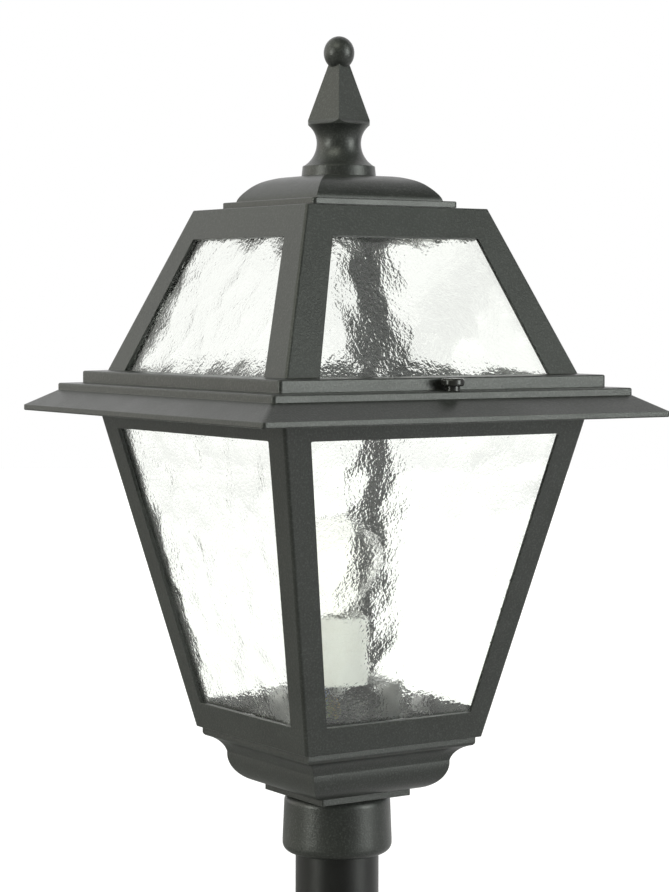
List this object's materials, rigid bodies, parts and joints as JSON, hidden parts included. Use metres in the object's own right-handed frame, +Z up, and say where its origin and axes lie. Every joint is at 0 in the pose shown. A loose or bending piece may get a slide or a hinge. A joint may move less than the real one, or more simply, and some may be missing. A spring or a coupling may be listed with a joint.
{
  "type": "post top lantern",
  "caption": "Square lantern for the top of a post: leaning glazed frame, flared glazed roof with cap and spire finial, lift-off roof held by thumb screws.",
  "frame": {"origin": "centre of the lower end of the post tube, which is also the centre of the base of the bounding box", "axes": "+Z up along the post tube; the flat faces of the lantern are square to X and Y; -Y is the front, the side with the first thumb screw"},
  "size_m": [0.3338, 0.3338, 0.7023],
  "materials": {
    "cast_coat": "charcoal powder coat, fine texture",
    "tube_paint": "satin black paint",
    "hammered_glass": "clear, hammered on one side",
    "opal_glass": "opal",
    "zinc_steel": "zinc plated",
    "clip_steel": "spring steel",
    "black_knob": "gloss black plated",
    "nickel": "nickel plated",
    "brass": "bare",
    "rubber": "matt black",
    "porcelain": "white glazed",
    "terminal_nylon": "natural white",
    "lead_brown": "brown insulation",
    "lead_blue": "blue insulation",
    "lead_green": "green and yellow insulation"
  },
  "bodies": {
    "base": {"post_tube": "tube_paint", "post_collar": "cast_coat", "collar_set_screws": "zinc_steel", "collar_ring_nut": "zinc_steel", "cable_grommet": "rubber", "base_moulding": "cast_coat", "base_screws": "zinc_steel", "body_frame": "cast_coat", "lower_pane_front": "hammered_glass", "lower_pane_right": "hammered_glass", "lower_pane_back": "hammered_glass", "lower_pane_left": "hammered_glass", "lower_pane_clips": "clip_steel", "lower_clip_screws": "zinc_steel", "rim_seal": "rubber", "lamp_bracket": "clip_steel", "bracket_screws": "zinc_steel", "lamp_holder": "porcelain", "holder_shell": "brass", "holder_contact": "brass", "holder_nipple": "zinc_steel", "nipple_nut": "zinc_steel", "terminal_block": "terminal_nylon", "terminal_screws": "zinc_steel", "live_lead": "lead_brown", "neutral_lead": "lead_blue", "earth_lead": "lead_green", "earth_screw": "brass"},
    "roof": {"roof_casting": "cast_coat", "upper_pane_front": "hammered_glass", "upper_pane_right": "hammered_glass", "upper_pane_back": "hammered_glass", "upper_pane_left": "hammered_glass", "upper_pane_clips": "clip_steel", "upper_clip_screws": "zinc_steel", "upper_pane_stops": "clip_steel", "upper_stop_screws": "zinc_steel", "cap_gasket": "rubber", "roof_cap": "cast_coat", "finial": "cast_coat", "finial_stud": "zinc_steel", "finial_washer": "zinc_steel", "finial_nut": "zinc_steel"},
    "sleeve_front": {"screw_sleeve_front": "black_knob"},
    "screw_front": {"thumb_screw_front": "black_knob"},
    "sleeve_back": {"screw_sleeve_back": "black_knob"},
    "screw_back": {"thumb_screw_back": "black_knob"},
    "lamp": {"lamp_cap": "nickel", "lamp_bulb": "opal_glass"}
  },
  "joints": [
    {"name": "roof_lift", "type": "slide", "parent": "base", "child": "roof", "axis": [0, 0, 1], "range_m": [0, 0.2]},
    {"name": "sleeve_front_rise", "type": "slide", "parent": "roof", "child": "sleeve_front", "axis": [0, 0, 1], "range_m": [0, 0.0085]},
    {"name": "screw_front_turn", "type": "hinge", "parent": "sleeve_front", "child": "screw_front", "pos_m": [-0.004, -0.1431, 0.4585], "axis": [0, 0, 1], "range_deg": [0, 3780]},
    {"name": "sleeve_back_rise", "type": "slide", "parent": "roof", "child": "sleeve_back", "axis": [0, 0, 1], "range_m": [0, 0.0085]},
    {"name": "screw_back_turn", "type": "hinge", "parent": "sleeve_back", "child": "screw_back", "pos_m": [0.004, 0.1431, 0.4585], "axis": [0, 0, 1], "range_deg": [0, 3780]},
    {"name": "lamp_draw", "type": "slide", "parent": "base", "child": "lamp", "axis": [0, 0, 1], "range_m": [0, 0.03]}
  ],
  "couplings": [
    {"joint": "sleeve_front_rise", "follows": "screw_front_turn", "m_per_rad": 0.00012732},
    {"joint": "sleeve_back_rise", "follows": "screw_back_turn", "m_per_rad": 0.00012732}
  ]
}
